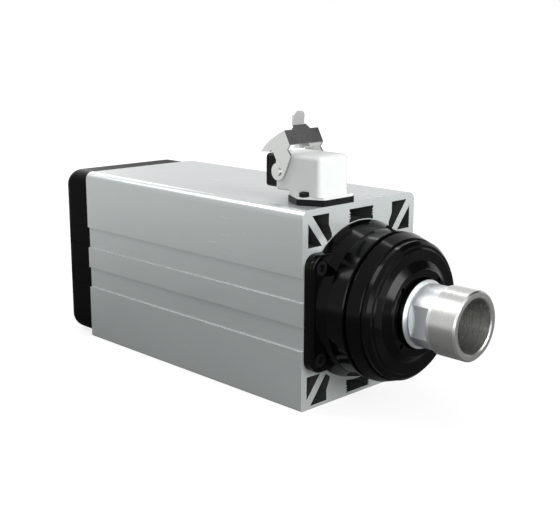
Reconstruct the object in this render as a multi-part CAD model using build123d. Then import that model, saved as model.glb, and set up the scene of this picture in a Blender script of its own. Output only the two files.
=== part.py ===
from build123d import *

import math
import os

# An air-cooled motor spindle with a size-32 collet nose, in millimetres.
# The origin is the centre of the nose face, the shaft runs along +Y towards the fan and +Z is up.

# Stations along the shaft, counted back from the nose face.
NOSE_END = 18.0
FLAT_START, FLAT_END = 20.0, 31.5
COLLAR_FACE = 33.7
HUB_FACE = 37.5
COVER_FACE = 41.8
COVER_BACK = 54.5
HOUSING_FRONT = 57.7
BODY_FRONT = 83.0
BODY_LENGTH = 210.0
BODY_BACK = BODY_FRONT + BODY_LENGTH
COWL_DEPTH = 30.5
COWL_BACK = BODY_BACK + COWL_DEPTH

# Shaft and its collet seat.
NOSE_R = 20.0
NECK_R = 18.5
FLATS_ACROSS = 32.0
COLLAR_R = 20.1
SEAT_MOUTH_R = 15.7
SEAT_HALF_ANGLE = 8.0
SEAT_DEPTH = 36.0
SEAT_BORE_END = 60.0

# Extruded body.
BODY_W = 100.0
BODY_H = 118.8
TOP_EDGE_R = 5.0
BOTTOM_EDGE_R = 1.2
BODY_BORE_R = 42.0
BARREL_R = 48.5
LOWER_SHIFT = -1.8
WALL = 4.0
CHANNEL_X, CHANNEL_TOP = 28.3, BODY_H / 2 - 3.9
GROOVE_H, GROOVE_DEPTH = 14.4, 1.4
GROOVE_CENTRE = -1.1
FIN_PITCH, FIN_H = 1.6, 0.8

# Front bearing housing and its cover.
PLATE_T = 7.0
EAR_X, EAR_Z, EAR_R = 48.2, 34.8, 7.5
EAR_CENTRE = -0.8
FLARE_R, FLARE_LENGTH = 48.0, 13.6
BOSS_R = 44.3
SPLIT_R = 42.3
RIM_FRONT, RIM_R = 47.2, 42.0
DISC_R, DISC_BEVEL = 40.9, 2.0
FACE_RING_R, FACE_RING_T = 37.2, 0.9
HUB_BASE_R, HUB_R = 30.2, 26.0
COVER_GAP = 0.4
SPIGOT_END = BODY_FRONT + 7.0

# Bearings as (bore radius, outer radius, width, ball radius, ball count).
FRONT_BEARING = (17.5, 31.0, 14.0, 4.0, 11)
REAR_BEARING = (10.0, 23.5, 14.0, 3.9, 8)
BEARING_A = HOUSING_FRONT + 2.3
SPACER_T = 2.0
BEARING_B = BEARING_A + FRONT_BEARING[2] + SPACER_T
NUT_START = BEARING_B + FRONT_BEARING[2]
NUT_T, NUT_R = 9.0, 24.5
BALL_PLAY, POCKET_PLAY = 0.05, 0.2

# Motor.
CORE_START, CORE_END = BODY_FRONT + 42.0, BODY_BACK - 68.0
STATOR_BORE_R = 26.6
ROTOR_R = 26.1
ROTOR_SHAFT_R = 16.0
SLOTS, SLOT_W, SLOT_IN, SLOT_OUT = 18, 4.6, 29.0, 36.0
END_TURN = 18.0
BARS, BAR_DEPTH, BAR_W, BAR_PITCH_R = 18, 5.0, 3.0, 22.6
END_RING = 7.0

# Rear shield, fan and cowl.
SHIELD_T = 7.0
SHIELD_SPIGOT = 9.0
REAR_BEARING_START = BODY_BACK - SHIELD_SPIGOT
FAN_START = BODY_BACK + SHIELD_T + 4.0
FAN_R, FAN_BACKPLATE, FAN_W, BLADES = 40.0, 2.0, 13.0, 11
FAN_SEAT_R = 7.0
COWL_WALL = 2.6
COWL_INSET = 0.6
COWL_R, COWL_BACK_R = 11.0, 9.5
GRILLE_SLOTS, GRILLE_IN, GRILLE_OUT, GRILLE_W = 18, 15.0, 37.0, 3.0

# Screw places across the end faces, mounting holes underneath and spanner holes of the cover.
TOP = BODY_H / 2
EAR_SCREW_X, EAR_SCREW_Z = EAR_X - 7.2, EAR_Z - 7.6
COWL_SCREW_X, COWL_SCREW_Z = 18.0, TOP - 7.6
MOUNT_X, MOUNT_FIRST = 18.0, 30.0
MOUNT_PITCH = BODY_LENGTH - 2 * MOUNT_FIRST
MOUNT_TAP_R, MOUNT_DEPTH = 3.4, 14.0
SPANNER_HOLE_PCD_R, SPANNER_HOLE_R = (COLLAR_R + COVER_GAP + HUB_R) / 2, 1.6

# Connector on top, placed in X and Y over the front of the body.
BASE_X, BASE_Y = -19.5, BODY_FRONT + 14.6
BASE_HALF_L, BASE_HALF_FRONT, BASE_HALF_W = 20.2, 12.7, 14.6
GASKET_T = 3.6
FLANGE_T = 1.5
BLOCK_X0, BLOCK_X1 = BASE_X - 15.5, BASE_X + 9.5
BLOCK_Y0, BLOCK_Y1 = BODY_FRONT + 1.2, BODY_FRONT + 25.0
MOUTH_Y = BODY_FRONT + 35.8
BLOCK_TOP, MOUTH_BOTTOM = TOP + 28.6, TOP + 6.4
SHELL = 2.2
INSERT_OUT = 10.0
LEAD_HOLE_R = 6.5
CONNECTOR_SCREW_X, CONNECTOR_SCREW_Y = 16.5, 2.0
SCREW_HEAD_R, SCREW_HEAD_H, SCREW_SHANK_R, SCREW_REACH = 2.8, 2.2, 1.5, 3.2

# Locking lever, drawn in the YZ plane around its pivot.
PIVOT_Y, PIVOT_Z = MOUTH_Y - 2.5, MOUTH_BOTTOM + 10.8
LEVER_T = 1.2
LEVER_GAP = 0.5
LEVER_PLAY = 0.08
STUD_R, STUD_ROOT_R = 2.0, 1.5
HINGE_CLEAR = 0.06


def across(y):
    """Plane square to the shaft at station y, with X to the right and Z up."""
    return Plane(origin=(0, y, 0), x_dir=(1, 0, 0), z_dir=(0, -1, 0))


def prism(outline, start, end):
    """Outline of an across plane, run along the shaft from start to end."""
    return extrude(across(end) * outline, end - start)


def turned(*points):
    """Solid turned about the shaft axis from (station, radius) points."""
    outline = Polyline(*[(r, y) for y, r in points], close=True)
    return revolve(make_face(outline), Axis.Y)


def ring(start, end, inner, outer):
    """Plain ring about the shaft axis."""
    return turned((start, inner), (end, inner), (end, outer), (start, outer))


def rod(x, z, start, end, radius):
    """Round rod parallel to the shaft."""
    return prism(Pos(x, z) * Circle(radius), start, end)


def corners(x, z, centre=0.0):
    """The four mirrored places of a screw on an end face, about the height centre."""
    return [(sx * x, centre + sz * z) for sx in (-1, 1) for sz in (-1, 1)]


def socket_screw(x, z, head_start, shank_end, shank_r, head_r, head_h, socket_r):
    """Cap screw pointing along +Y with a six-sided socket in its head."""
    head = rod(x, z, head_start, head_start + head_h, head_r)
    socket = prism(Pos(x, z) * RegularPolygon(socket_r, 6), head_start - 1, head_start + head_h * 0.55)
    return head + rod(x, z, head_start + head_h, shank_end, shank_r) - socket


def bearing(start, bore_r, outer_r, width, ball_r, count):
    """Outer race, inner race, balls and cage of one ball bearing."""
    pitch_r = (bore_r + outer_r) / 2
    middle = start + width / 2
    land = ball_r * 0.6
    track = Pos(0, middle, 0) * Rot(90, 0, 0) * Torus(pitch_r, ball_r + BALL_PLAY)
    outer = ring(start, start + width, pitch_r + land, outer_r) - track
    inner = ring(start, start + width, bore_r, pitch_r - land) - track
    seats = [Rot(0, 360 / count * i, 0) * Pos(pitch_r, middle, 0) for i in range(count)]
    balls = [seat * Sphere(ball_r) for seat in seats]
    cage = ring(middle - ball_r - 1.3, middle + ball_r + 1.3, pitch_r - 1.1, pitch_r + 1.1)
    pocket = 2 * (ball_r + POCKET_PLAY)
    cage -= [seat * Box(6, pocket, pocket) for seat in seats]
    return outer, inner, Compound(children=balls), cage


def body_outline():
    """Outline of the extrusion with its rounded top and nearly sharp bottom edges."""
    outline = Rectangle(BODY_W, BODY_H)
    outline = fillet(outline.vertices().group_by(Axis.Y)[-1], TOP_EDGE_R)
    return fillet(outline.vertices().group_by(Axis.Y)[0], BOTTOM_EDGE_R)


def side_grooves(start, end):
    """Cutters of the two shallow grooves along each side."""
    cutters = []
    for side in (-1, 1):
        for centre in (GROOVE_CENTRE + GROOVE_H, GROOVE_CENTRE - GROOVE_H):
            place = Pos(side * BODY_W / 2, centre)
            cutters.append(prism(place * Rectangle(2 * GROOVE_DEPTH, GROOVE_H), start, end))
    return cutters


def channel_faces():
    """Faces of the air channels above the barrel, mirrored left and right."""
    inner_x = BODY_W / 2 - WALL - 0.6
    barrel = Circle(BARREL_R)
    inboard = make_face(
        Polyline(
            (-42.2, CHANNEL_TOP),
            (-CHANNEL_X, CHANNEL_TOP),
            (-CHANNEL_X, 48.8),
            (-25.6, 43.2),
            (-25.6, 38.0),
            (-28.4, 38.0),
            close=True,
        )
    )
    outboard = make_face(Polyline((-inner_x, 51.4), (-inner_x, 37.4), (-34.0, 37.4), close=True))
    middle = Pos(0, (CHANNEL_TOP + 46.0) / 2) * Rectangle(21.2, CHANNEL_TOP - 46.0)
    left = [inboard - barrel, outboard - barrel]
    return left + [mirror(face, Plane.YZ) for face in left] + [middle - barrel]


def fins(side_x, low, high, depth, y_start, y_end):
    """Fine cooling fins standing in a channel from its wall at side_x."""
    count = int((high - low) / FIN_PITCH)
    pieces = []
    for i in range(count):
        z = low + (i + 0.5) * FIN_PITCH
        pieces.append(prism(Pos(side_x + depth / 2, z) * Rectangle(abs(depth), FIN_H), y_start, y_end))
    return pieces


def make_body():
    """Extruded body with bore, air channels, fins, grooves, tapped holes and lead hole."""
    body = prism(body_outline(), BODY_FRONT, BODY_BACK)
    body -= side_grooves(BODY_FRONT, BODY_BACK)
    body -= rod(0, 0, BODY_FRONT, BODY_BACK, BODY_BORE_R)
    cuts = []
    for face in channel_faces():
        cuts.append(prism(face, BODY_FRONT, BODY_BACK))
        cuts.append(prism(Pos(0, LOWER_SHIFT) * mirror(face, Plane.XZ), BODY_FRONT, BODY_BACK))
    body -= cuts
    for low in (49.4, LOWER_SHIFT - CHANNEL_TOP + 0.1):
        body += fins(10.6, low, low + 6.0, -0.9, BODY_FRONT, BODY_BACK)
        body += fins(-10.6, low, low + 6.0, 0.9, BODY_FRONT, BODY_BACK)
    for x, z in corners(EAR_SCREW_X, EAR_SCREW_Z, EAR_CENTRE):
        body -= rod(x, z, BODY_FRONT, BODY_FRONT + 16, 2.5)
        body -= rod(x, z, BODY_BACK - 16, BODY_BACK, 2.5)
    for x, z in corners(COWL_SCREW_X, COWL_SCREW_Z):
        body -= rod(x, z, BODY_BACK - 16, BODY_BACK, 2.0)
    for x in (-MOUNT_X, MOUNT_X):
        for y in (BODY_FRONT + MOUNT_FIRST, BODY_FRONT + MOUNT_FIRST + MOUNT_PITCH):
            body -= Pos(x, y, -TOP + MOUNT_DEPTH / 2) * Cylinder(MOUNT_TAP_R, MOUNT_DEPTH)
    body -= Pos(BASE_X, BASE_Y, TOP - 10) * Cylinder(LEAD_HOLE_R, 40)
    for sx, sy in ((-1, -1), (1, 1)):
        place = Pos(BASE_X + sx * CONNECTOR_SCREW_X, BASE_Y + sy * CONNECTOR_SCREW_Y, TOP - SCREW_REACH / 2)
        body -= place * Cylinder(SCREW_SHANK_R, SCREW_REACH)
    return body


def make_housing():
    """Front bearing housing: eared plate, flared boss, spigot and bearing bore."""
    ears = Pos(0, EAR_CENTRE) * RectangleRounded(2 * EAR_X, 2 * EAR_Z, EAR_R)
    plate = prism(ears, BODY_FRONT - PLATE_T, BODY_FRONT)
    plate = fillet(plate.edges().group_by(Axis.Y)[0], 1.2)
    boss = turned(
        (HOUSING_FRONT, 0),
        (HOUSING_FRONT, BOSS_R - 0.6),
        (HOUSING_FRONT + 0.6, BOSS_R),
        (BODY_FRONT - FLARE_LENGTH, BOSS_R),
        (BODY_FRONT - 1.0, FLARE_R),
        (BODY_FRONT, FLARE_R),
        (BODY_FRONT, BODY_BORE_R),
        (SPIGOT_END, BODY_BORE_R),
        (SPIGOT_END, 0),
    )
    housing = plate + boss
    housing -= rod(0, 0, HOUSING_FRONT, BEARING_B + FRONT_BEARING[2], FRONT_BEARING[1])
    housing -= rod(0, 0, HOUSING_FRONT, SPIGOT_END, FRONT_BEARING[1] - 3.0)
    for x, z in corners(EAR_SCREW_X, EAR_SCREW_Z, EAR_CENTRE):
        housing -= rod(x, z, BODY_FRONT - PLATE_T, BODY_FRONT, 2.75)
        housing -= rod(x, z, BODY_FRONT - PLATE_T - 10, BODY_FRONT - PLATE_T + 5.0, 4.6)
    return housing


def make_cover():
    """Front bearing cover: tapered rim, stepped disc, conical hub and a bore grooved as a dust labyrinth."""
    bore_r = COLLAR_R + COVER_GAP
    raised_face = COVER_FACE - FACE_RING_T
    cover = turned(
        (HUB_FACE, bore_r + 0.5),
        (HUB_FACE, HUB_R - 0.6),
        (HUB_FACE + 0.6, HUB_R),
        (raised_face, HUB_BASE_R),
        (raised_face, FACE_RING_R - FACE_RING_T),
        (COVER_FACE, FACE_RING_R),
        (COVER_FACE, DISC_R - DISC_BEVEL),
        (COVER_FACE + DISC_BEVEL, DISC_R),
        (RIM_FRONT, DISC_R),
        (RIM_FRONT, RIM_R - 0.4),
        (RIM_FRONT + 0.4, RIM_R),
        (COVER_BACK, BOSS_R),
        (COVER_BACK, SPLIT_R),
        (HOUSING_FRONT, SPLIT_R),
        (HOUSING_FRONT, FRONT_BEARING[1]),
        (BEARING_A, FRONT_BEARING[1]),
        (BEARING_A, FRONT_BEARING[1] - 3.0),
        (BEARING_A - 1.6, FRONT_BEARING[1] - 3.0),
        (BEARING_A - 1.6, bore_r),
        (HUB_FACE + 0.5, bore_r),
    )
    for start in (42.0, 47.0, 52.0):
        cover -= ring(start, start + 2.4, bore_r - 0.2, bore_r + 1.6)
    for i in range(4):
        hole = rod(SPANNER_HOLE_PCD_R, 0, HUB_FACE, HUB_FACE + 3.2, SPANNER_HOLE_R)
        cover -= Rot(0, 90 * i + 45, 0) * hole
    return cover


def make_shaft():
    """Spindle shaft with collet seat, wrench flats, collar and bearing journals."""
    rear_bore_r = REAR_BEARING[0]
    rear_end = REAR_BEARING_START + REAR_BEARING[2]
    shaft = turned(
        (0, 0),
        (0, NOSE_R - 1.0),
        (1.0, NOSE_R),
        (NOSE_END - 0.5, NOSE_R),
        (NOSE_END, NOSE_R - 0.5),
        (NOSE_END, NECK_R),
        (COLLAR_FACE, NECK_R),
        (COLLAR_FACE, COLLAR_R - 0.5),
        (COLLAR_FACE + 0.5, COLLAR_R),
        (BEARING_A, COLLAR_R),
        (BEARING_A, FRONT_BEARING[0]),
        (NUT_START + NUT_T + 1, FRONT_BEARING[0]),
        (NUT_START + NUT_T + 1, ROTOR_SHAFT_R),
        (CORE_END + 30, ROTOR_SHAFT_R),
        (CORE_END + 30, rear_bore_r + 2.5),
        (REAR_BEARING_START, rear_bore_r + 2.5),
        (REAR_BEARING_START, rear_bore_r),
        (rear_end, rear_bore_r),
        (rear_end, rear_bore_r - 0.7),
        (rear_end + 1.2, rear_bore_r - 0.7),
        (rear_end + 1.2, rear_bore_r),
        (rear_end + 2.5, rear_bore_r),
        (FAN_START, FAN_SEAT_R + 1.5),
        (FAN_START, FAN_SEAT_R),
        (FAN_START + FAN_W, FAN_SEAT_R),
        (FAN_START + FAN_W, FAN_SEAT_R - 0.6),
        (FAN_START + FAN_W + 1.0, FAN_SEAT_R - 0.6),
        (FAN_START + FAN_W + 1.0, FAN_SEAT_R),
        (FAN_START + FAN_W + 1.6, FAN_SEAT_R),
        (FAN_START + FAN_W + 2.2, FAN_SEAT_R - 0.6),
        (FAN_START + FAN_W + 2.2, 0),
    )
    seat_end_r = SEAT_MOUTH_R - SEAT_DEPTH * math.tan(math.radians(SEAT_HALF_ANGLE))
    shaft -= turned(
        (0, 0),
        (0, SEAT_MOUTH_R + 0.7),
        (0.7, SEAT_MOUTH_R),
        (SEAT_DEPTH, seat_end_r),
        (SEAT_BORE_END, seat_end_r),
        (SEAT_BORE_END + seat_end_r * 0.5, 0),
    )
    for side in (-1, 1):
        place = Pos(side * (FLATS_ACROSS / 2 + 5), (FLAT_START + FLAT_END) / 2, 0)
        shaft -= place * Box(10, FLAT_END - FLAT_START, 50)
    return shaft


def make_lock_nut():
    """Slotted ring nut holding the front inner races against the collar."""
    nut = ring(NUT_START, NUT_START + NUT_T, FRONT_BEARING[0], NUT_R)
    for i in range(4):
        nut -= Rot(0, 90 * i, 0) * Pos(NUT_R, NUT_START + NUT_T / 2, 0) * Box(4, NUT_T + 2, 5)
    return nut


def slot_places():
    """Rotations about the shaft to each stator slot."""
    return [Rot(0, 360 / SLOTS * i, 0) for i in range(SLOTS)]


def slot_bar(start, end):
    """Radial bar filling one stator slot."""
    middle = Pos((SLOT_IN + SLOT_OUT) / 2, (start + end) / 2, 0)
    return middle * Box(SLOT_OUT - SLOT_IN, end - start, SLOT_W)


def make_stator():
    """Laminated stator core and its windings."""
    core = ring(CORE_START, CORE_END, STATOR_BORE_R, BODY_BORE_R)
    core -= [place * slot_bar(CORE_START, CORE_END) for place in slot_places()]
    front_turns = ring(CORE_START - END_TURN, CORE_START, SLOT_IN - 1, SLOT_OUT + 2.5)
    rear_turns = ring(CORE_END, CORE_END + END_TURN, SLOT_IN - 1, SLOT_OUT + 2.5)
    front_turns = chamfer(front_turns.edges().group_by(Axis.Y)[0], 3.0)
    rear_turns = chamfer(rear_turns.edges().group_by(Axis.Y)[-1], 3.0)
    windings = front_turns + rear_turns
    windings += [place * slot_bar(CORE_START, CORE_END) for place in slot_places()]
    return core, windings


def make_rotor():
    """Rotor core and the cast cage of bars and end rings."""
    core = ring(CORE_START, CORE_END, ROTOR_SHAFT_R, ROTOR_R)
    middle = Pos(BAR_PITCH_R, (CORE_START + CORE_END) / 2, 0)
    bar = middle * Box(BAR_DEPTH, CORE_END - CORE_START, BAR_W)
    bars = [Rot(0, 360 / BARS * i, 0) * bar for i in range(BARS)]
    core -= bars
    cage = ring(CORE_START - END_RING, CORE_START, ROTOR_SHAFT_R + 1.5, ROTOR_R - 0.5)
    cage += ring(CORE_END, CORE_END + END_RING, ROTOR_SHAFT_R + 1.5, ROTOR_R - 0.5)
    cage += bars
    return core, cage


def make_rear_shield():
    """Rear bearing shield with its spigot, bearing seat and eared plate."""
    plate = RectangleRounded(90.0, 2 * EAR_Z - 2, EAR_R) + Circle(44.0)
    shield = prism(plate, BODY_BACK, BODY_BACK + SHIELD_T)
    shield += rod(0, 0, BODY_BACK - SHIELD_SPIGOT, BODY_BACK, BODY_BORE_R)
    lip = REAR_BEARING_START + REAR_BEARING[2] + 0.8
    shield -= rod(0, 0, BODY_BACK - SHIELD_SPIGOT, lip, REAR_BEARING[1])
    shield -= rod(0, 0, lip, BODY_BACK + SHIELD_T, REAR_BEARING[1] - 4.0)
    for x, z in corners(EAR_SCREW_X, EAR_SCREW_Z, EAR_CENTRE):
        shield -= rod(x, z, BODY_BACK, BODY_BACK + SHIELD_T, 2.75)
    return shield


def make_fan():
    """Radial fan: hub, back plate and curved blades."""
    fan = ring(FAN_START, FAN_START + FAN_W, FAN_SEAT_R, 12.0)
    fan += ring(FAN_START, FAN_START + FAN_BACKPLATE, FAN_SEAT_R, FAN_R)
    inner = ThreePointArc((11.0, 0), (26.0, 5.5), (FAN_R - 1, 4.0))
    outer = ThreePointArc((11.0, 1.6), (26.0, 7.1), (FAN_R - 1, 5.6))
    sides = [Line(inner @ 1, outer @ 1), Line(outer @ 0, inner @ 0)]
    blade = make_face([inner, outer] + sides)
    blade = prism(blade, FAN_START + FAN_BACKPLATE, FAN_START + FAN_W)
    fan += [Rot(0, 360 / BLADES * i, 0) * blade for i in range(BLADES)]
    return fan


def make_cowl():
    """Rear cowl: hollow rounded cap with grooved sides, screw pillars and an air grille."""
    width, height = BODY_W - 2 * COWL_INSET, BODY_H - 2 * COWL_INSET
    cowl = prism(RectangleRounded(width, height, COWL_R), BODY_BACK, COWL_BACK)
    cowl = fillet(cowl.edges().group_by(Axis.Y)[-1], COWL_BACK_R)
    hollow = RectangleRounded(width - 2 * COWL_WALL, height - 2 * COWL_WALL, COWL_R - COWL_WALL)
    hollow = prism(hollow, BODY_BACK, COWL_BACK - COWL_WALL)
    cowl -= chamfer(hollow.edges().group_by(Axis.Y)[-1], (COWL_BACK_R - COWL_WALL) * 0.6)
    cowl -= side_grooves(BODY_BACK, COWL_BACK)
    pillars = [rod(x, z, BODY_BACK, COWL_BACK - 1.2, 5.4) for x, z in corners(COWL_SCREW_X, COWL_SCREW_Z)]
    cowl += pillars
    for x, z in corners(COWL_SCREW_X, COWL_SCREW_Z):
        cowl -= rod(x, z, BODY_BACK, COWL_BACK, 2.25)
        cowl -= rod(x, z, COWL_BACK - 5.4, COWL_BACK, 3.9)
    slot = Pos((GRILLE_IN + GRILLE_OUT) / 2, COWL_BACK, 0)
    slot = slot * Box(GRILLE_OUT - GRILLE_IN, 3 * COWL_WALL, GRILLE_W)
    slot = chamfer(slot.edges().filter_by(Axis.Y), GRILLE_W * 0.3)
    cowl -= [Rot(0, 360 / GRILLE_SLOTS * i, 0) * slot for i in range(GRILLE_SLOTS)]
    return cowl


def base_outline(inset):
    """Six-sided outline of the connector base."""
    half_l, half_front, half_w = BASE_HALF_L - inset, BASE_HALF_FRONT - inset, BASE_HALF_W - inset
    points = [
        (-half_l, 0),
        (-half_front, half_w),
        (half_front, half_w),
        (half_l, 0),
        (half_front, -half_w),
        (-half_front, -half_w),
    ]
    outline = make_face(Polyline(*points, close=True))
    return Pos(BASE_X, BASE_Y) * fillet(outline.vertices(), 1.2)


def base_screw_places():
    """X and Y of the two screws of the connector base."""
    return [(BASE_X + s * CONNECTOR_SCREW_X, BASE_Y + s * CONNECTOR_SCREW_Y) for s in (-1, 1)]


def make_gasket():
    """Rubber gasket under the connector."""
    gasket = Pos(0, 0, TOP) * extrude(base_outline(0), GASKET_T)
    gasket -= Pos(BASE_X, BASE_Y, TOP + GASKET_T / 2) * Cylinder(LEAD_HOLE_R, GASKET_T)
    for x, y in base_screw_places():
        gasket -= Pos(x, y, TOP + GASKET_T / 2) * Cylinder(1.75, GASKET_T)
    return gasket


def block(x0, x1, y0, y1, z0, z1):
    """Axis-aligned box between two corners."""
    centre = Pos((x0 + x1) / 2, (y0 + y1) / 2, (z0 + z1) / 2)
    return centre * Box(x1 - x0, y1 - y0, z1 - z0)


def make_connector_housing():
    """Angled connector housing: base flange, rounded block and the mouth facing the fan end."""
    flange_bottom = TOP + GASKET_T
    flange_top = flange_bottom + FLANGE_T
    outside = block(BLOCK_X0, BLOCK_X1, BLOCK_Y0, MOUTH_Y, MOUTH_BOTTOM, BLOCK_TOP)
    outside += block(BLOCK_X0, BLOCK_X1, BLOCK_Y0, BLOCK_Y1, flange_top, MOUTH_BOTTOM)
    outside = fillet(outside.edges().filter_by(Axis.Z).group_by(Axis.Y)[0], 3.4)
    outside = fillet(outside.edges().group_by(Axis.Z)[-1], 3.2)
    underside = (MOUTH_BOTTOM - 0.1, MOUTH_BOTTOM + 0.1)
    lower = outside.edges().filter_by(Axis.Y).filter_by_position(Axis.Z, *underside)
    outside = fillet(lower.group_by(Axis.Y)[-1], 1.5)
    housing = outside + Pos(0, 0, flange_bottom) * extrude(base_outline(0.4), FLANGE_T)
    inner_x0, inner_x1 = BLOCK_X0 + SHELL, BLOCK_X1 - SHELL
    housing -= block(inner_x0, inner_x1, BLOCK_Y0 + SHELL, MOUTH_Y, MOUTH_BOTTOM + SHELL, BLOCK_TOP - SHELL)
    housing -= Pos(BASE_X, BASE_Y, flange_bottom + 5) * Cylinder(LEAD_HOLE_R, 10)
    for x, y in base_screw_places():
        housing -= Pos(x, y, flange_bottom + 2) * Cylinder(1.75, 4)
        housing -= Pos(x, y, flange_top + SCREW_HEAD_H / 2) * Cylinder(SCREW_HEAD_R + 0.3, SCREW_HEAD_H + 0.8)
    for x in (BLOCK_X0, BLOCK_X1):
        housing -= Pos(x, PIVOT_Y, PIVOT_Z) * Rot(0, 90, 0) * Cylinder(STUD_ROOT_R, 3.0)
    return housing


def make_insert():
    """Contact insert: body inside the mouth and the seal collar standing out of it."""
    x0, x1 = BLOCK_X0 + SHELL, BLOCK_X1 - SHELL
    z0, z1 = MOUTH_BOTTOM + SHELL, BLOCK_TOP - SHELL
    end = MOUTH_Y + INSERT_OUT
    collar = block(x0 - 0.8, x1 + 0.8, MOUTH_Y, end, z0 - 1.4, z1 + 0.4)
    collar = fillet(collar.edges().filter_by(Axis.Y), 2.5)
    insert = collar + block(x0, x1, MOUTH_Y - 14, MOUTH_Y, z0, z1)
    middle_x, middle_z = (x0 + x1) / 2, (z0 + z1) / 2
    insert -= Pos(middle_x, end - 4, middle_z) * Box(15.0, 8.0, 12.0)
    for x, z in contact_places():
        insert -= rod(x, z, MOUTH_Y - 14, end - 8, 1.2)
    return insert


def contact_places():
    """X and Z of the four contact pins."""
    middle_x = (BLOCK_X0 + BLOCK_X1) / 2
    middle_z = (MOUTH_BOTTOM + BLOCK_TOP) / 2
    return [(middle_x + sx * 4.2, middle_z + sz * 3.4) for sx in (-1, 1) for sz in (-1, 1)]


def make_contacts():
    """Four contact pins of the insert."""
    pins = []
    for x, z in contact_places():
        pin = rod(x, z, MOUTH_Y - 14, MOUTH_Y + INSERT_OUT - 1.5, 1.2)
        pins.append(chamfer(pin.edges().group_by(Axis.Y)[-1], 0.4))
    return Compound(children=pins)


def make_connector_screws():
    """Two slotted cheese-head screws holding the connector base."""
    screws = []
    under_head = TOP + GASKET_T + FLANGE_T
    head_top = under_head + SCREW_HEAD_H
    for x, y in base_screw_places():
        screw = Pos(x, y, under_head + SCREW_HEAD_H / 2) * Cylinder(SCREW_HEAD_R, SCREW_HEAD_H)
        length = under_head - (TOP - SCREW_REACH)
        screw += Pos(x, y, under_head - length / 2) * Cylinder(SCREW_SHANK_R, length)
        screw -= Pos(x, y, head_top) * Box(0.9, 2 * SCREW_HEAD_R + 1, 1.8)
        screws.append(screw)
    return Compound(children=screws)


def lever_sheet(face, x_start, width):
    """Sheet metal of the lever: a YZ face around the pivot, width long from x_start."""
    return Pos(0, PIVOT_Y, PIVOT_Z) * extrude(Plane.YZ.offset(x_start) * face, width)


def outline(*points):
    """Face with straight sides through the points."""
    return make_face(Polyline(*points, close=True))


def make_lever():
    """Locking lever: two hooked side arms, the bridge between them and the thumb tab."""
    arm = outline(
        (13.9, 10.6),
        (10.5, 14.7),
        (6.3, 18.0),
        (-0.3, 22.0),
        (-5.2, 24.4),
        (-9.6, 16.4),
        (-7.7, 13.3),
        (-10.1, 10.4),
        (-10.1, 8.9),
        (-6.9, 1.7),
        (-5.0, -2.0),
        (-3.9, -3.7),
        (4.7, -2.4),
        (5.1, 0.8),
        (1.6, 4.1),
        (1.3, 6.7),
        (3.8, 11.0),
        (8.8, 11.0),
    )
    arm += Circle(5.2)
    arm -= Pos(5.3, 11.0) * Circle(1.0)
    arm -= Circle(STUD_R + HINGE_CLEAR)
    left_x = BLOCK_X0 - LEVER_GAP - LEVER_T
    right_x = BLOCK_X1 + LEVER_GAP
    lever = lever_sheet(arm, left_x, LEVER_T) + lever_sheet(arm, right_x, LEVER_T)
    bridge = outline((-5.2, 24.4), (-9.6, 16.4), (-8.5, 15.8), (-4.1, 23.8))
    lever += lever_sheet(bridge, left_x, right_x + LEVER_T - left_x)
    middle_x = (BLOCK_X0 + BLOCK_X1) / 2
    rise = lever_sheet(outline((-5.2, 24.4), (-3.8, 27.0), (-2.7, 26.4), (-4.1, 23.8)), middle_x - 7.5, 14.5)
    lever += chamfer(rise.edges().filter_by(Axis.X, reverse=True).group_by(Axis.Z)[-1], 2.2, 2.2)
    tab = lever_sheet(outline((-3.9, 26.8), (-4.7, 34.6), (-3.5, 34.8), (-2.7, 26.4)), middle_x - 5.7, 9.2)
    lever += fillet(tab.edges().filter_by(Axis.X, reverse=True).group_by(Axis.Z)[-1], 3.0)
    lug = outline((-9.6, 16.4), (-10.1, 14.6), (-9.1, 14.3), (-8.5, 15.8))
    lever += lever_sheet(lug, middle_x - 5.0, 7.0)
    return lever


def make_lever_pivots():
    """Two shouldered studs in the housing sides that carry the lever."""
    studs = []
    for face_x, out in ((BLOCK_X0, -1), (BLOCK_X1, 1)):
        stud = Pos(face_x - out * 0.75, 0, 0) * Rot(0, 90, 0) * Cylinder(STUD_ROOT_R, 1.5)
        gap = LEVER_GAP - LEVER_PLAY
        stud += Pos(face_x + out * gap / 2, 0, 0) * Rot(0, 90, 0) * Cylinder(3.2, gap)
        reach = LEVER_GAP + LEVER_T + LEVER_PLAY
        stud += Pos(face_x + out * reach / 2, 0, 0) * Rot(0, 90, 0) * Cylinder(STUD_R, reach)
        stud += Pos(face_x + out * (reach + 0.35), 0, 0) * Rot(0, 90, 0) * Cylinder(2.5, 0.7)
        studs.append(Pos(0, PIVOT_Y, PIVOT_Z) * stud)
    return Compound(children=studs)


def make_housing_screws():
    """Screws through the housing ears into the body."""
    ear_seat = BODY_FRONT - PLATE_T + 5.0
    screws = [
        socket_screw(x, z, ear_seat - 4.8, BODY_FRONT + 13, 2.5, 4.25, 4.8, 2.4)
        for x, z in corners(EAR_SCREW_X, EAR_SCREW_Z, EAR_CENTRE)
    ]
    return Compound(children=screws)


def rear_screw(x, z, seat, shank_r, head_r, head_h, socket_r):
    """Cap screw pointing forwards, its head seated at station seat."""
    screw = socket_screw(x, z, -seat - head_h, -BODY_BACK + 13, shank_r, head_r, head_h, socket_r)
    return mirror(screw, Plane.XZ)


def screws_rear():
    """Screws of the rear shield and of the cowl, pointing forwards."""
    shield = [
        rear_screw(x, z, BODY_BACK + SHIELD_T, 2.5, 4.25, 4.8, 2.4)
        for x, z in corners(EAR_SCREW_X, EAR_SCREW_Z, EAR_CENTRE)
    ]
    cowl = [
        rear_screw(x, z, COWL_BACK - 5.4, 2.0, 3.5, 4.0, 1.9)
        for x, z in corners(COWL_SCREW_X, COWL_SCREW_Z)
    ]
    return Compound(children=shield), Compound(children=cowl)


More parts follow.
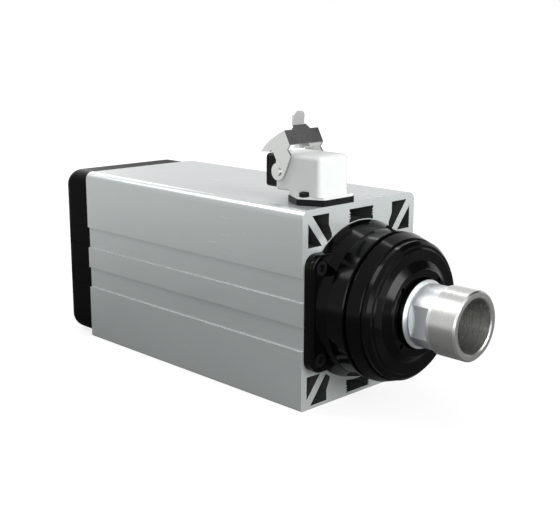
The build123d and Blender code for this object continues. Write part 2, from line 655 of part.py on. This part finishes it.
def retaining_ring(start, thickness, inner_r, width, gap):
    """Open snap ring in a shaft groove."""
    snap = ring(start, start + thickness, inner_r, inner_r + width)
    return snap - Pos(0, start + thickness / 2, inner_r + width / 2) * Box(gap, thickness + 1, width + 4)


def preload_washer():
    """Spring washer between the rear outer race and the shield's lip."""
    start = REAR_BEARING_START + REAR_BEARING[2]
    outer_r = REAR_BEARING[1] - 0.3
    return turned(
        (start, outer_r),
        (start, outer_r - 0.8),
        (start + 0.3, outer_r - 3.0),
        (start + 0.8, outer_r - 3.0),
        (start + 0.5, outer_r),
    )


def build_all():
    """Every node of the spindle by name."""
    nodes = {}
    nodes["body_extrusion"] = make_body()
    nodes["front_bearing_housing"] = make_housing()
    nodes["front_bearing_cover"] = make_cover()
    nodes["housing_screws"] = make_housing_screws()
    nodes["spindle_shaft"] = make_shaft()
    sets = (
        ("front_bearing_a", BEARING_A, FRONT_BEARING),
        ("front_bearing_b", BEARING_B, FRONT_BEARING),
        ("rear_bearing", REAR_BEARING_START, REAR_BEARING),
    )
    for name, start, sizes in sets:
        outer, inner, balls, cage = bearing(start, *sizes)
        nodes[name + "_outer_race"] = outer
        nodes[name + "_inner_race"] = inner
        nodes[name + "_balls"] = balls
        nodes[name + "_cage"] = cage
    spacer_start = BEARING_A + FRONT_BEARING[2]
    bore_r, outer_r = FRONT_BEARING[0], FRONT_BEARING[1]
    nodes["outer_spacer_ring"] = ring(spacer_start, BEARING_B, outer_r - 4.0, outer_r)
    nodes["inner_spacer_ring"] = ring(spacer_start, BEARING_B, bore_r, bore_r + 4.0)
    nodes["bearing_lock_nut"] = make_lock_nut()
    nodes["stator_core"], nodes["stator_windings"] = make_stator()
    nodes["rotor_core"], nodes["rotor_cage"] = make_rotor()
    nodes["rear_bearing_shield"] = make_rear_shield()
    nodes["preload_washer"] = preload_washer()
    rear_end = REAR_BEARING_START + REAR_BEARING[2]
    nodes["rear_retaining_ring"] = retaining_ring(rear_end, 1.2, REAR_BEARING[0] - 0.7, 2.4, 5.0)
    nodes["cooling_fan"] = make_fan()
    nodes["fan_retaining_ring"] = retaining_ring(FAN_START + FAN_W, 1.0, FAN_SEAT_R - 0.6, 2.0, 4.0)
    nodes["rear_cowl"] = make_cowl()
    nodes["shield_screws"], nodes["cowl_screws"] = screws_rear()
    nodes["connector_gasket"] = make_gasket()
    nodes["connector_housing"] = make_connector_housing()
    nodes["connector_insert"] = make_insert()
    nodes["connector_contacts"] = make_contacts()
    nodes["connector_screws"] = make_connector_screws()
    nodes["locking_lever"] = make_lever()
    nodes["lever_pivots"] = make_lever_pivots()
    return nodes


os.makedirs("parts", exist_ok=True)
for node_name, shape in build_all().items():
    export_step(shape, "parts/" + node_name + ".step")
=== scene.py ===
"""Finishes, studio and camera of an air-cooled motor spindle with a collet nose."""

import logging
import math
from dataclasses import dataclass, field
from enum import Enum

import bpy
from mathutils import Euler, Matrix, Vector


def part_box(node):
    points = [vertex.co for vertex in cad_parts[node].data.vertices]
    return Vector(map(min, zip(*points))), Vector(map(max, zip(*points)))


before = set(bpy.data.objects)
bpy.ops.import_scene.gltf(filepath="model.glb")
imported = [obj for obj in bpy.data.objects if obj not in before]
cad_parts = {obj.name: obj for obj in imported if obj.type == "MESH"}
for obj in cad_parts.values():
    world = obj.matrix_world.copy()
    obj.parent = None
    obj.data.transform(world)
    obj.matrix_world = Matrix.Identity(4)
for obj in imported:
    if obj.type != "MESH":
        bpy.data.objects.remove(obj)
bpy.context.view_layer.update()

MM = 0.001
MICRON = 0.000001
SPINDLE_AIM = (0.0, 0.1, 0.0)
LOG = logging.getLogger("spindle")

Socket = bpy.types.NodeSocket
Triple = tuple[float, float, float]
Span = tuple[float, float]


class Coord(Enum):
    """Space in which a pattern is drawn."""

    OBJECT = "Object"
    AROUND_SHAFT = "around the shaft"


class NodeBench:
    """Adds nodes to one tree and joins them."""

    def __init__(self, tree: bpy.types.NodeTree) -> None:
        """Work on the given tree."""
        self.tree = tree

    def node(self, kind: str, **settings: object) -> bpy.types.Node:
        """Add a node and set its plain properties.

        Args:
            kind: Blender's node type.
            **settings: Attribute values of the node.

        Returns:
            The new node.
        """
        made = self.tree.nodes.new(kind)
        for key, value in settings.items():
            setattr(made, key, value)
        return made

    def link(self, source: Socket, target: Socket) -> None:
        """Join an output to an input."""
        self.tree.links.new(source, target)

    def math(self, operation: str, a: Socket | float, b: Socket | float = 0.0) -> Socket:
        """Combine two sockets or numbers.

        Args:
            operation: The math node's operation.
            a: First socket or number.
            b: Second socket or number.

        Returns:
            The result's socket.
        """
        made = self.node("ShaderNodeMath", operation=operation)
        for socket, value in zip(made.inputs, (a, b)):
            if isinstance(value, Socket):
                self.link(value, socket)
            else:
                socket.default_value = value
        return made.outputs[0]

    def spread(self, value: Socket, low: float, high: float,
               start: float = 0.3, end: float = 0.7) -> Socket:
        """Map a pattern value between two numbers.

        Args:
            value: Pattern value.
            low: Result at start.
            high: Result at end.
            start: Pattern value that gives low.
            end: Pattern value that gives high.

        Returns:
            The mapped value's socket.
        """
        made = self.node("ShaderNodeMapRange")
        self.link(value, made.inputs["Value"])
        ends = {"From Min": start, "From Max": end, "To Min": low, "To Max": high}
        for key, number in ends.items():
            made.inputs[key].default_value = number
        return made.outputs["Result"]


class MaterialBench(NodeBench):
    """Builds the node tree of one material around its Principled shader."""

    bevel_radius = 0.25 * MM
    bevel_samples = 4

    def __init__(self, name: str) -> None:
        """Start a material.

        Args:
            name: The material's name.
        """
        self.material = bpy.data.materials.new(name)
        self.material.use_nodes = True
        super().__init__(self.material.node_tree)
        self.shader = self.tree.nodes["Principled BSDF"]
        self._spaces: dict[Coord, Socket] = {}

    def split(self, vector: Socket) -> bpy.types.NodeOutputs:
        """Components X, Y and Z of a vector."""
        made = self.node("ShaderNodeSeparateXYZ")
        self.link(vector, made.inputs[0])
        return made.outputs

    def space(self, coord: Coord) -> Socket:
        """Coordinates in metres in the asked space, made once.

        Args:
            coord: Plain object space, or radius and station of a turned piece.

        Returns:
            A vector socket.
        """
        if coord not in self._spaces:
            place = self.node("ShaderNodeTexCoord").outputs["Object"]
            if coord is Coord.AROUND_SHAFT:
                place = self._around_shaft(place)
            self._spaces[coord] = place
        return self._spaces[coord]

    def _around_shaft(self, place: Socket) -> Socket:
        """Radius from the spindle axis as X and station along it as Y.

        Args:
            place: Object coordinates.

        Returns:
            A vector socket.
        """
        parts = self.split(place)
        squares = [self.math("MULTIPLY", parts[axis], parts[axis]) for axis in ("X", "Z")]
        join = self.node("ShaderNodeCombineXYZ")
        self.link(self.math("SQRT", self.math("ADD", *squares)), join.inputs["X"])
        self.link(parts["Y"], join.inputs["Y"])
        return join.outputs[0]

    def noise(self, scale: float, stretch: Triple = (1, 1, 1), detail: float = 3.0,
              coord: Coord = Coord.OBJECT) -> Socket:
        """Noise pattern, stretched per axis.

        Args:
            scale: Features per metre.
            stretch: Factors on the scale along each axis.
            detail: Octaves of the noise.
            coord: Space the noise is drawn in.

        Returns:
            The noise value's socket.
        """
        mapping = self.node("ShaderNodeMapping")
        mapping.inputs["Scale"].default_value = stretch
        self.link(self.space(coord), mapping.inputs["Vector"])
        made = self.node("ShaderNodeTexNoise")
        made.inputs["Scale"].default_value = scale
        made.inputs["Detail"].default_value = detail
        self.link(mapping.outputs[0], made.inputs["Vector"])
        return made.outputs["Fac"]

    def tint(self, fac: Socket, first: Triple | Socket, second: Triple) -> Socket:
        """Blend two colours by a pattern.

        Args:
            fac: Blend factor.
            first: Colour at 0, plain or from another node.
            second: Colour at 1.

        Returns:
            The colour's socket.
        """
        made = self.node("ShaderNodeMix", data_type="RGBA")
        self.link(fac, made.inputs["Factor"])
        if isinstance(first, Socket):
            self.link(first, made.inputs["A"])
        else:
            made.inputs["A"].default_value = (*first, 1)
        made.inputs["B"].default_value = (*second, 1)
        return made.outputs["Result"]

    def relief(self, *layers: tuple[Socket, float]) -> None:
        """Raise the surface by patterns, softened at the piece's edges.

        Args:
            *layers: Pairs of a pattern value and its height in metres.
        """
        softened = self.node("ShaderNodeBevel", samples=self.bevel_samples)
        softened.inputs["Radius"].default_value = self.bevel_radius
        normal = softened.outputs["Normal"]
        for value, height in layers:
            bump = self.node("ShaderNodeBump")
            bump.inputs["Distance"].default_value = height
            self.link(value, bump.inputs["Height"])
            self.link(normal, bump.inputs["Normal"])
            normal = bump.outputs["Normal"]
        self.link(normal, self.shader.inputs["Normal"])

    def set(self, **values: float) -> None:
        """Set constants on the shader's own sockets, named with underscores for spaces."""
        for key, value in values.items():
            self.shader.inputs[key.replace("_", " ")].default_value = value


@dataclass(frozen=True)
class Finish:
    """One surface finish: two tones, gloss and its grain."""

    name: str
    tone: Triple
    second_tone: Triple
    metallic: float
    gloss: Span
    grain: float = 900.0
    stretch: Triple = (1, 1, 1)
    grain_height: float = 4 * MICRON
    coord: Coord = Coord.OBJECT
    blotch: float = 25.0
    blotch_share: float = 0.55
    blotch_detail: float = 4.0
    grain_detail: float = 2.0
    fine_detail: float = 1.0
    fine_scale: float = 3.1
    fine_height: float = 0.5
    blend: Span = (0.35, 0.65)
    ior: float = 1.45

    def build(self) -> bpy.types.Material:
        """Make the material.

        Returns:
            The finished material.
        """
        bench = MaterialBench(self.name)
        blotches = bench.noise(self.blotch, detail=self.blotch_detail)
        grain = bench.noise(self.grain, self.stretch, self.grain_detail, self.coord)
        fine = bench.noise(self.grain * self.fine_scale, self.stretch, self.fine_detail, self.coord)
        mixed = bench.math("ADD", bench.math("MULTIPLY", blotches, self.blotch_share),
                           bench.math("MULTIPLY", grain, 1.0 - self.blotch_share))
        blended = bench.spread(mixed, 0.0, 1.0, *self.blend)
        colour = bench.tint(blended, self.tone, self.second_tone)
        colour, rough = self.zones(bench, colour, bench.spread(mixed, *self.gloss))
        bench.link(colour, bench.shader.inputs["Base Color"])
        bench.link(rough, bench.shader.inputs["Roughness"])
        bench.relief((grain, self.grain_height), (fine, self.grain_height * self.fine_height))
        bench.set(Metallic=self.metallic, IOR=self.ior)
        return bench.material

    def zones(self, bench: MaterialBench, colour: Socket, rough: Socket) -> tuple[Socket, Socket]:
        """Change colour and roughness where a piece has its own zones; a plain finish has none.

        Args:
            bench: The material being built; not used by a plain finish.
            colour: Colour all over.
            rough: Roughness all over.

        Returns:
            Colour and roughness with the zones.
        """
        return colour, rough


@dataclass(frozen=True)
class ExtrusionFinish(Finish):
    """Finish of an extrusion with painted shade that darkens its air channels."""

    # share of the anodised tone kept as painted shade on the channel walls
    channel_shade: float = 0.16
    skin: float = 1.8 * MM
    across_limit: float = 0.5

    def zones(self, bench: MaterialBench, colour: Socket, rough: Socket) -> tuple[Socket, Socket]:
        """Paint shade on the walls that lie inside the extrusion's outline and run along it.

        Args:
            bench: The material being built.
            colour: Colour of the open faces.
            rough: Roughness of the open faces.

        Returns:
            The shaded colour, and the roughness as it was.
        """
        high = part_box("body_extrusion")[1]
        place = bench.split(bench.space(Coord.OBJECT))
        facing = bench.split(bench.node("ShaderNodeNewGeometry").outputs["True Normal"])
        within = [bench.math("LESS_THAN", bench.math("ABSOLUTE", place[axis]), limit - self.skin)
                  for axis, limit in (("X", high[0]), ("Z", high[2]))]
        lengthwise = bench.math("LESS_THAN", bench.math("ABSOLUTE", facing["Y"]), self.across_limit)
        channel_shade_mask = bench.math("MULTIPLY", bench.math("MULTIPLY", *within), lengthwise)
        # painted shade: the channel walls take a darker copy of the tone
        dark = tuple(part * self.channel_shade for part in self.tone)
        return bench.tint(channel_shade_mask, colour, dark), rough


@dataclass(frozen=True)
class ShaftFinish(Finish):
    """Turned finish with a paler ground collar behind the nose and a dark land behind that."""

    bore_radius: float = 14.0 * MM
    collar_start: float = 17.0 * MM
    collar_end: float = 34.7 * MM
    collar_tone: Triple = (0.72, 0.755, 0.775)
    collar_dulling: float = 0.12
    land_tone: Triple = (0.06, 0.06, 0.06)
    land_polish: float = 0.12

    def zones(self, bench: MaterialBench, colour: Socket, rough: Socket) -> tuple[Socket, Socket]:
        """Give collar and land their own tones outside the bore.

        Args:
            bench: The material being built.
            colour: Colour of the turned nose.
            rough: Roughness of the turned nose.

        Returns:
            Colour and roughness of the whole shaft.
        """
        station = bench.split(bench.space(Coord.OBJECT))["Y"]
        radius = bench.split(bench.space(Coord.AROUND_SHAFT))["X"]
        outside = bench.math("GREATER_THAN", radius, self.bore_radius)
        past_nose, land = (
            bench.math("MULTIPLY", bench.math("GREATER_THAN", station, start), outside)
            for start in (self.collar_start, self.collar_end))
        collar = bench.math("SUBTRACT", past_nose, land)
        colour = bench.tint(collar, colour, self.collar_tone)
        colour = bench.tint(land, colour, self.land_tone)
        rough = bench.math("ADD", rough, bench.math("MULTIPLY", collar, self.collar_dulling))
        rough = bench.math("SUBTRACT", rough, bench.math("MULTIPLY", land, self.land_polish))
        return colour, rough


class FinishName(Enum):
    """Finishes of the spindle, each named as its slot in the record."""

    ANODISED = ExtrusionFinish(
        "anodised_aluminium", (0.460, 0.490, 0.486), (0.482, 0.514, 0.510), 0.42, (0.22, 0.28),
        grain=1200, stretch=(1, 0.03, 1), grain_height=0.8 * MICRON, blotch=9)
    BLACK_PAINT = Finish(
        "black_paint", (0.0014, 0.0014, 0.0016), (0.0019, 0.0019, 0.0021), 0.0, (0.11, 0.16),
        grain=1300, grain_height=1.0 * MICRON, ior=1.19)
    BLACK_SCREWS = Finish(
        "black_screws", (0.006, 0.006, 0.007), (0.010, 0.010, 0.011), 0.0, (0.30, 0.42),
        grain=1600, ior=1.15)
    TURNED_STEEL = ShaftFinish(
        "turned_steel", (0.49, 0.488, 0.475), (0.54, 0.538, 0.525), 1.0, (0.24, 0.32),
        grain=2600, grain_height=0.8 * MICRON, coord=Coord.AROUND_SHAFT)
    BEARING_STEEL = Finish(
        "bearing_steel", (0.60, 0.60, 0.60), (0.66, 0.66, 0.66), 1.0, (0.10, 0.18),
        grain=2400, grain_height=2 * MICRON, coord=Coord.AROUND_SHAFT)
    BRASS = Finish(
        "cage_brass", (0.62, 0.44, 0.18), (0.70, 0.52, 0.24), 1.0, (0.25, 0.38),
        grain=1800, coord=Coord.AROUND_SHAFT)
    LAMINATIONS = Finish(
        "electrical_steel", (0.20, 0.20, 0.21), (0.34, 0.34, 0.35), 0.9, (0.38, 0.55),
        grain=2000, stretch=(0.02, 1, 0.02), grain_height=40 * MICRON)
    WINDINGS = Finish(
        "copper_windings", (0.42, 0.15, 0.05), (0.60, 0.27, 0.10), 0.7, (0.25, 0.40),
        grain=1100, stretch=(1, 1, 0.2), grain_height=200 * MICRON)
    CAST = Finish(
        "cast_aluminium", (0.50, 0.51, 0.52), (0.60, 0.61, 0.62), 0.9, (0.42, 0.58),
        grain=700, grain_height=40 * MICRON)
    SPRING = Finish(
        "spring_steel", (0.16, 0.16, 0.18), (0.24, 0.24, 0.26), 1.0, (0.25, 0.38), grain=1500)
    BLACK_PLASTIC = Finish(
        "black_plastic", (0.0032, 0.0032, 0.0033), (0.0044, 0.0044, 0.0045), 0.0, (0.34, 0.44),
        grain=2200, ior=1.07)
    FAN_PLASTIC = Finish(
        "fan_plastic", (0.025, 0.025, 0.028), (0.035, 0.035, 0.038), 0.0, (0.38, 0.50))
    RUBBER = Finish(
        "rubber_gasket", (0.004, 0.0045, 0.005), (0.006, 0.0065, 0.007), 0.0, (0.50, 0.65),
        grain=1400, grain_height=10 * MICRON, ior=1.2)
    POWDER = Finish(
        "grey_powder", (0.61, 0.635, 0.625), (0.64, 0.665, 0.655), 0.0, (0.38, 0.50),
        grain=1000, grain_height=10 * MICRON, blotch=40)
    INSERT = Finish(
        "insert_plastic", (0.004, 0.004, 0.004), (0.006, 0.006, 0.006), 0.0, (0.35, 0.48),
        grain=1600, ior=1.2)
    CONTACT = Finish(
        "contact_metal", (0.72, 0.69, 0.60), (0.78, 0.75, 0.66), 1.0, (0.15, 0.25), grain=1500)
    STAINLESS = Finish(
        "stainless", (0.54, 0.55, 0.54), (0.58, 0.59, 0.58), 1.0, (0.22, 0.28),
        grain=1500, stretch=(1, 0.1, 1), grain_height=0.8 * MICRON)


Pieces = tuple[tuple[str, FinishName], ...]


@dataclass
class Wardrobe:
    """Keeps one material per finish and dresses pieces with it."""

    made: dict[FinishName, bpy.types.Material] = field(default_factory=dict)

    def material(self, finish: FinishName) -> bpy.types.Material:
        """Material of a finish, made once."""
        if finish not in self.made:
            self.made[finish] = finish.value.build()
        return self.made[finish]

    def dress(self, piece: bpy.types.Object, finish: FinishName) -> None:
        """Give every material slot of a piece one finish."""
        material = self.material(finish)
        if not piece.data.materials:
            piece.data.materials.append(material)
        for place in piece.material_slots:
            place.material = material


@dataclass(frozen=True)
class SubAssembly:
    """Pieces of the frame that are fitted together, each with its finish."""

    pieces: Pieces = ()
    prefix: str = ""

    def dress(self, wardrobe: Wardrobe) -> set[str]:
        """Dress each piece and report it.

        Args:
            wardrobe: Keeper of the materials.

        Returns:
            Names of the dressed pieces.
        """
        names = set()
        for piece, finish in self.pieces:
            name = self.prefix + piece
            wardrobe.dress(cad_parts[name], finish)
            LOG.info("%s: %s in %s", type(self).__name__, name, finish.value.name)
            names.add(name)
        return names


@dataclass(frozen=True)
class Body(SubAssembly):
    """Finned extrusion with the front housing and the cast rear shield."""

    pieces: Pieces = (
        ("body_extrusion", FinishName.ANODISED),
        ("front_bearing_housing", FinishName.BLACK_PAINT),
        ("front_bearing_cover", FinishName.BLACK_PAINT),
        ("housing_screws", FinishName.BLACK_SCREWS),
        ("rear_bearing_shield", FinishName.CAST),
        ("shield_screws", FinishName.BLACK_SCREWS),
    )


class BearingName(Enum):
    """Bearings of the spindle, as their pieces are named."""

    FRONT_A = "front_bearing_a_"
    FRONT_B = "front_bearing_b_"
    REAR = "rear_bearing_"


@dataclass(frozen=True)
class Bearing(SubAssembly):
    """One ball bearing: two races, balls and their cage."""

    pieces: Pieces = (
        ("outer_race", FinishName.BEARING_STEEL),
        ("inner_race", FinishName.BEARING_STEEL),
        ("balls", FinishName.BEARING_STEEL),
        ("cage", FinishName.BRASS),
    )


@dataclass(frozen=True)
class BearingFittings(SubAssembly):
    """Spacers, nut, washer and ring that hold the bearings in place and under load."""

    pieces: Pieces = (
        ("outer_spacer_ring", FinishName.TURNED_STEEL),
        ("inner_spacer_ring", FinishName.TURNED_STEEL),
        ("bearing_lock_nut", FinishName.TURNED_STEEL),
        ("preload_washer", FinishName.SPRING),
        ("rear_retaining_ring", FinishName.SPRING),
    )


@dataclass(frozen=True)
class Motor(SubAssembly):
    """Shaft with its rotor, and the stator around it."""

    pieces: Pieces = (
        ("spindle_shaft", FinishName.TURNED_STEEL),
        ("rotor_core", FinishName.LAMINATIONS),
        ("rotor_cage", FinishName.CAST),
        ("stator_core", FinishName.LAMINATIONS),
        ("stator_windings", FinishName.WINDINGS),
    )


@dataclass(frozen=True)
class CoolingEnd(SubAssembly):
    """Fan on the shaft's tail and the cowl over it."""

    pieces: Pieces = (
        ("cooling_fan", FinishName.FAN_PLASTIC),
        ("fan_retaining_ring", FinishName.SPRING),
        ("rear_cowl", FinishName.BLACK_PLASTIC),
        ("cowl_screws", FinishName.BLACK_SCREWS),
    )


@dataclass(frozen=True)
class Connector(SubAssembly):
    """Panel connector with its gasket, contacts and locking lever."""

    pieces: Pieces = (
        ("connector_gasket", FinishName.RUBBER),
        ("connector_housing", FinishName.POWDER),
        ("connector_insert", FinishName.INSERT),
        ("connector_contacts", FinishName.CONTACT),
        ("connector_screws", FinishName.BLACK_SCREWS),
        ("lever_pivots", FinishName.STAINLESS),
        ("locking_lever", FinishName.STAINLESS),
    )


@dataclass(frozen=True)
class Camera:
    """Camera that frames the spindle from its left, in front and a little above.

    Its place is in millimetres, its angles are in degrees.
    """

    place: Triple = (-446.743, -297.152, 157.823)
    azimuth: float = -44.92
    elevation: float = 13.26
    roll: float = 0.24
    lens: float = 64.72
    sensor: float = 36.0
    clip_start: float = 0.01

    def build(self) -> None:
        """Create the camera and make it the scene's."""
        turn, lift, roll = (math.radians(a) for a in (self.azimuth, self.elevation, self.roll))
        back = Vector((math.sin(turn) * math.cos(lift),
                       -math.cos(turn) * math.cos(lift), math.sin(lift)))
        right = Vector((math.cos(turn), math.sin(turn), 0))
        up = back.cross(right)
        rolled_right = right * math.cos(roll) + up * math.sin(roll)
        rolled_up = up * math.cos(roll) - right * math.sin(roll)
        basis = Matrix((rolled_right, rolled_up, back)).transposed().to_4x4()
        data = bpy.data.cameras.new("camera")
        data.lens = self.lens
        data.sensor_width = self.sensor
        data.clip_start = self.clip_start
        made = bpy.data.objects.new("camera", data)
        made.matrix_world = Matrix.Translation(Vector(self.place) * MM) @ basis
        bpy.context.scene.collection.objects.link(made)
        bpy.context.scene.camera = made


@dataclass(frozen=True)
class StudioPiece:
    """A lamp or card that stands in the studio and faces the spindle."""

    name: str
    place: Triple

    def facing(self, aim: Triple) -> Euler:
        """Rotation that turns the piece's front from its place to a point."""
        return (Vector(aim) - Vector(self.place)).to_track_quat("-Z", "Y").to_euler()


@dataclass(frozen=True)
class Softbox(StudioPiece):
    """One rectangular studio lamp."""

    size: Span
    power: float
    aim: Triple = SPINDLE_AIM

    def build(self) -> None:
        """Create the lamp."""
        data = bpy.data.lights.new(self.name, "AREA")
        data.shape = "RECTANGLE"
        data.size, data.size_y = self.size
        data.energy = self.power
        lamp = bpy.data.objects.new(self.name, data)
        lamp.rotation_euler = self.facing(self.aim)
        lamp.location = self.place
        bpy.context.scene.collection.objects.link(lamp)


@dataclass(frozen=True)
class Flag(StudioPiece):
    """Dark card outside the picture that metal reflects."""

    size: float
    tone: float = 0.02
    contrast: float = 1.3
    weave: float = 400.0
    roughness: float = 0.9
    aim: Triple = SPINDLE_AIM

    def build(self) -> None:
        """Create the card, unseen by the camera itself."""
        bpy.ops.object.select_all(action="DESELECT")
        bpy.ops.mesh.primitive_plane_add(size=self.size, location=self.place,
                                         rotation=self.facing(self.aim))
        card = bpy.context.object
        card.name = self.name
        card.visible_camera = False
        card.visible_shadow = False
        bench = MaterialBench(self.name + "_cloth")
        tones = ((self.tone,) * 3, (self.tone * self.contrast,) * 3)
        bench.link(bench.tint(bench.noise(self.weave), *tones), bench.shader.inputs["Base Color"])
        bench.set(Roughness=self.roughness)
        card.data.materials.append(bench.material)


@dataclass(frozen=True)
class Studio:
    """Pale floor, white surroundings, soft lamps and a dark card."""

    floor_size: float = 30.0
    floor_tones: Span = (0.23, 0.25)
    floor_blotch: float = 3.0
    floor_roughness: float = 0.9
    floor_gloss: float = 0.1
    floor_near: float = 0.79
    fade: Span = (0.35, 1.6)
    mirror_fade: Span = (0.35, 1.0)
    ambient: float = 0.30
    lamps: tuple[Softbox, ...] = (
        Softbox("front_box", (0.14, -1.12, 0.50), (0.80, 0.52), 19.0, (0.0, 0.04, 0.0)),
        Softbox("back_left_box", (-0.40, 0.85, 0.84), (0.56, 0.56), 5.2),
        Softbox("left_box", (-1.05, -0.79, 0.30), (0.70, 0.70), 8.0),
        Softbox("back_box", (0.50, 1.80, 0.60), (0.80, 0.80), 10.0),
        Softbox("right_strip", (0.66, 0.79, 1.20), (1.10, 0.08), 2.0, (-0.05, 1.156, 0.0)),
    )
    flags: tuple[Flag, ...] = (
        Flag("flag_right", (0.74, -0.38, 0.58), 0.75),
    )

    def build(self) -> None:
        """Create floor, world, lamps and card, and set the view transform."""
        bpy.context.scene.view_settings.view_transform = "Standard"
        bpy.ops.object.select_all(action="DESELECT")
        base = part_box("body_extrusion")[0][2]
        bpy.ops.mesh.primitive_plane_add(size=self.floor_size, location=(0, 0, base))
        floor = bpy.context.object
        floor.name = "floor"
        floor.data.materials.append(self._floor_material())
        self._world()
        for piece in (*self.lamps, *self.flags):
            piece.build()
            LOG.info("Studio: %s", piece.name)

    def _floor_material(self) -> bpy.types.Material:
        """Pale matt floor that fades to white away from the spindle where it is seen directly."""
        bench = MaterialBench("floor_white")
        tones = ((tone,) * 3 for tone in self.floor_tones)
        tone = bench.tint(bench.noise(self.floor_blotch), *tones)
        bench.link(tone, bench.shader.inputs["Base Color"])
        bench.set(Roughness=self.floor_roughness, Specular_IOR_Level=self.floor_gloss)
        bench.shader.inputs["Emission Color"].default_value = (1, 1, 1, 1)
        distance = bench.node("ShaderNodeVectorMath", operation="LENGTH")
        bench.link(bench.space(Coord.OBJECT), distance.inputs[0])
        in_camera = bench.spread(distance.outputs["Value"], self.floor_near, 1.0, *self.fade)
        mirrored = bench.spread(distance.outputs["Value"], 0.0, 1.0, *self.mirror_fade)
        path = bench.node("ShaderNodeLightPath").outputs
        lift = bench.math("MULTIPLY", path["Is Camera Ray"], in_camera)
        for ray in ("Is Glossy Ray", "Is Transmission Ray"):
            lift = bench.math("ADD", lift, bench.math("MULTIPLY", path[ray], mirrored))
        bench.link(lift, bench.shader.inputs["Emission Strength"])
        return bench.material

    def _world(self) -> None:
        """White to the camera and to reflections, a softer level as light."""
        world = bpy.data.worlds.new("studio")
        world.use_nodes = True
        bpy.context.scene.world = world
        bench = NodeBench(world.node_tree)
        path = bench.node("ShaderNodeLightPath").outputs
        seen = bench.math("MAXIMUM", path["Is Camera Ray"], path["Is Glossy Ray"])
        seen = bench.math("MAXIMUM", seen, path["Is Transmission Ray"])
        background = world.node_tree.nodes["Background"]
        background.inputs["Color"].default_value = (1, 1, 1, 1)
        strength = bench.spread(seen, self.ambient, 1.0, 0.0, 1.0)
        bench.link(strength, background.inputs["Strength"])


def main() -> None:
    """Dress the spindle's sub-assemblies in order, between the camera and the studio."""
    logging.basicConfig(level=logging.INFO)
    Camera().build()
    wardrobe = Wardrobe()
    bearings = (Bearing(prefix=name.value) for name in BearingName)
    dressed = set()
    for assembly in (Body(), *bearings, BearingFittings(), Motor(), CoolingEnd(), Connector()):
        dressed |= assembly.dress(wardrobe)
    missed = set(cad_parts) - dressed
    if missed:
        LOG.error("not dressed: %s", sorted(missed))
    Studio().build()


if __name__ == "__main__":
    main()
